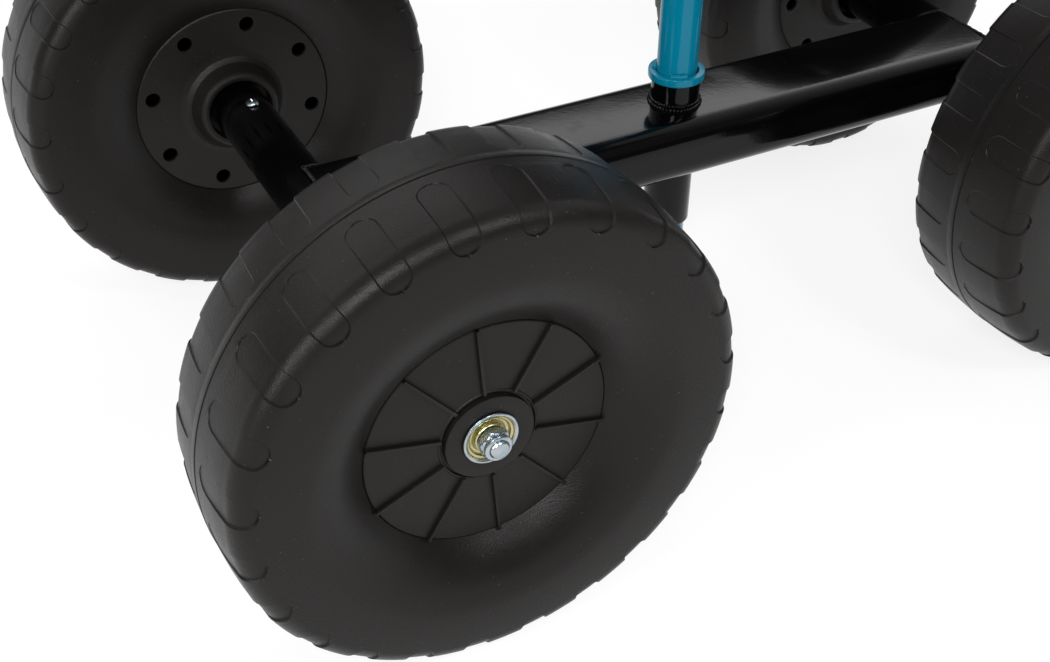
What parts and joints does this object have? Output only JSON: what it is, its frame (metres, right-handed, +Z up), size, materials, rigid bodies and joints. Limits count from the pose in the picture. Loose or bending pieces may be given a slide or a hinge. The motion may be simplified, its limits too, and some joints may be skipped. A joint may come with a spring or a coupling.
{
  "type": "garden hose reel cart",
  "caption": "Four-wheeled garden hose reel cart: black H-shaped chassis, moulded plastic wheels on ball bearings, and a turquoise swivelling post that carries a crank drum and folding handle.",
  "frame": {"origin": "on the ground under the middle of the chassis, which is the middle of the bounding box's bottom face", "axes": "+X is the direction of travel along the main beam, +Y is the cart's left side along the axle tubes, +Z is up"},
  "size_m": [0.883, 0.546, 1.0016],
  "materials": {
    "black_powder_coat": "gloss black powder coat",
    "turquoise_powder_coat": "gloss turquoise powder coat",
    "tyre_plastic": "satin blow-moulded charcoal plastic",
    "hub_plastic": "matt injection-moulded black plastic",
    "drum_plastic": "fine-textured black plastic",
    "foam_grip": "matt black foam",
    "zinc_steel": "bright zinc plate",
    "yellow_zinc": "yellow zinc plate",
    "brass": "machined brass"
  },
  "bodies": {
    "chassis": {"main_beam": "black_powder_coat", "rear_axle_tube": "black_powder_coat", "front_axle_tube": "black_powder_coat", "post_socket": "black_powder_coat", "rear_right_stub_axle": "zinc_steel", "rear_right_lock_nut": "zinc_steel", "rear_right_axle_screw": "zinc_steel", "rear_left_stub_axle": "zinc_steel", "rear_left_lock_nut": "zinc_steel", "rear_left_axle_screw": "zinc_steel", "front_right_stub_axle": "zinc_steel", "front_right_lock_nut": "zinc_steel", "front_right_axle_screw": "zinc_steel", "front_left_stub_axle": "zinc_steel", "front_left_lock_nut": "zinc_steel", "front_left_axle_screw": "zinc_steel"},
    "rear_right_wheel": {"rear_right_tyre": "tyre_plastic", "rear_right_outer_hub": "hub_plastic", "rear_right_inner_hub": "hub_plastic", "rear_right_outer_bearing": "yellow_zinc", "rear_right_inner_bearing": "yellow_zinc"},
    "rear_left_wheel": {"rear_left_tyre": "tyre_plastic", "rear_left_outer_hub": "hub_plastic", "rear_left_inner_hub": "hub_plastic", "rear_left_outer_bearing": "yellow_zinc", "rear_left_inner_bearing": "yellow_zinc"},
    "front_right_wheel": {"front_right_tyre": "tyre_plastic", "front_right_outer_hub": "hub_plastic", "front_right_inner_hub": "hub_plastic", "front_right_outer_bearing": "yellow_zinc", "front_right_inner_bearing": "yellow_zinc"},
    "front_left_wheel": {"front_left_tyre": "tyre_plastic", "front_left_outer_hub": "hub_plastic", "front_left_inner_hub": "hub_plastic", "front_left_outer_bearing": "yellow_zinc", "front_left_inner_bearing": "yellow_zinc"},
    "turret": {"swivel_post": "turquoise_powder_coat", "post_collar": "turquoise_powder_coat", "post_pin": "zinc_steel", "cradle_frame": "turquoise_powder_coat", "right_axle_head": "drum_plastic", "left_axle_head": "drum_plastic", "right_handle_bracket": "turquoise_powder_coat", "left_handle_bracket": "turquoise_powder_coat", "right_handle_bolt": "zinc_steel", "left_handle_bolt": "zinc_steel", "inlet_elbow": "brass", "inlet_connector": "drum_plastic"},
    "drum": {"drum_core": "drum_plastic", "right_drum_flange": "drum_plastic", "left_drum_flange": "drum_plastic", "drum_axle": "zinc_steel", "hose_outlet": "brass", "crank_arm": "turquoise_powder_coat", "crank_bolt": "zinc_steel"},
    "crank_knob": {"crank_grip": "drum_plastic"},
    "handle": {"pull_handle": "turquoise_powder_coat", "handle_grip": "foam_grip"}
  },
  "joints": [
    {"name": "rear_right_wheel_spin", "type": "hinge", "parent": "chassis", "child": "rear_right_wheel", "pos_m": [-0.2815, -0.22, 0.16], "axis": [0, 1, 0], "continuous": true},
    {"name": "rear_left_wheel_spin", "type": "hinge", "parent": "chassis", "child": "rear_left_wheel", "pos_m": [-0.2815, 0.22, 0.16], "axis": [0, 1, 0], "continuous": true},
    {"name": "front_right_wheel_spin", "type": "hinge", "parent": "chassis", "child": "front_right_wheel", "pos_m": [0.2815, -0.181, 0.16], "axis": [0, 1, 0], "continuous": true},
    {"name": "front_left_wheel_spin", "type": "hinge", "parent": "chassis", "child": "front_left_wheel", "pos_m": [0.2815, 0.181, 0.16], "axis": [0, 1, 0], "continuous": true},
    {"name": "turret_swivel", "type": "hinge", "parent": "chassis", "child": "turret", "pos_m": [0, 0, 0.203], "axis": [0, 0, 1], "continuous": true},
    {"name": "drum_spin", "type": "hinge", "parent": "turret", "child": "drum", "pos_m": [0, 0, 0.55], "axis": [0, 1, 0], "continuous": true},
    {"name": "crank_grip_spin", "type": "hinge", "parent": "drum", "child": "crank_knob", "pos_m": [0, -0.224, 0.42], "axis": [0, 1, 0], "continuous": true},
    {"name": "handle_fold", "type": "hinge", "parent": "turret", "child": "handle", "pos_m": [0.052, 0, 0.442], "axis": [0, 1, 0], "range_deg": [0, 75]}
  ]
}
